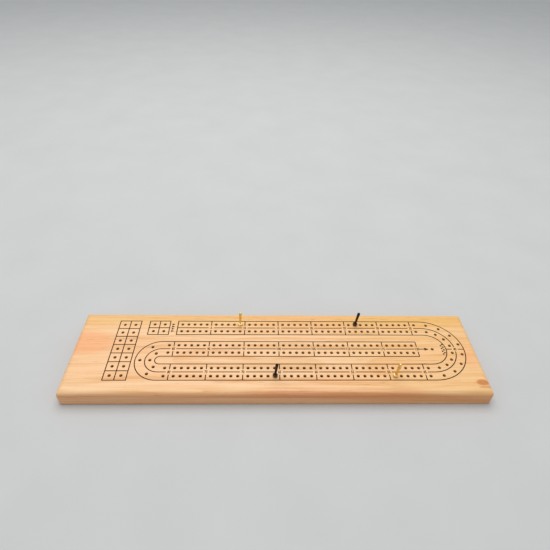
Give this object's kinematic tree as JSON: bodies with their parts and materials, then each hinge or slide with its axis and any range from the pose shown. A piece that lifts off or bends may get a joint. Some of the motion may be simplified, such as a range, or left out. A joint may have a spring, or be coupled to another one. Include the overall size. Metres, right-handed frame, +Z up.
{
  "type": "cribbage board",
  "caption": "Long wooden cribbage board with a looping two-lane track of drilled peg holes, standing metal pegs and a peg store under a sliding cover.",
  "frame": {"origin": "middle of the underside, on the surface that the board rests on", "axes": "+X along the board from the start boxes to the finish, +Y to the back row, +Z up out of the playing face"},
  "size_m": [0.381, 0.0974, 0.0323],
  "materials": {
    "wood": "satin clear finish on honey-coloured hardwood, burnt brown lines",
    "brass": "turned, lightly polished",
    "black_metal": "blackened, semi-gloss",
    "steel": "brushed"
  },
  "bodies": {
    "board": {"board": "wood"},
    "brass_peg_back": {"brass_peg_back": "brass"},
    "black_peg_back": {"black_peg_back": "black_metal"},
    "brass_peg_front": {"brass_peg_front": "brass"},
    "black_peg_front": {"black_peg_front": "black_metal"},
    "stored_brass_peg": {"stored_brass_peg": "brass"},
    "stored_black_peg": {"stored_black_peg": "black_metal"},
    "store_cover": {"store_cover": "steel"}
  },
  "joints": [
    {"name": "brass_peg_back_lift", "type": "slide", "parent": "board", "child": "brass_peg_back", "axis": [0.0133, 0, 0.9999], "range_m": [0, 0.0095]},
    {"name": "black_peg_back_lift", "type": "slide", "parent": "board", "child": "black_peg_back", "axis": [0.122, 0, 0.9925], "range_m": [0, 0.0095]},
    {"name": "brass_peg_front_lift", "type": "slide", "parent": "board", "child": "brass_peg_front", "axis": [0.1127, 0, 0.9936], "range_m": [0, 0.0095]},
    {"name": "black_peg_front_lift", "type": "slide", "parent": "board", "child": "black_peg_front", "axis": [0.0876, 0, 0.9962], "range_m": [0, 0.0095]},
    {"name": "stored_brass_peg_slide", "type": "slide", "parent": "board", "child": "stored_brass_peg", "axis": [1, 0, 0], "range_m": [0, 0.017]},
    {"name": "stored_black_peg_slide", "type": "slide", "parent": "board", "child": "stored_black_peg", "axis": [-1, 0, 0], "range_m": [0, 0.017]},
    {"name": "store_cover_slide", "type": "slide", "parent": "board", "child": "store_cover", "axis": [1, 0, 0], "range_m": [0, 0.09]}
  ]
}
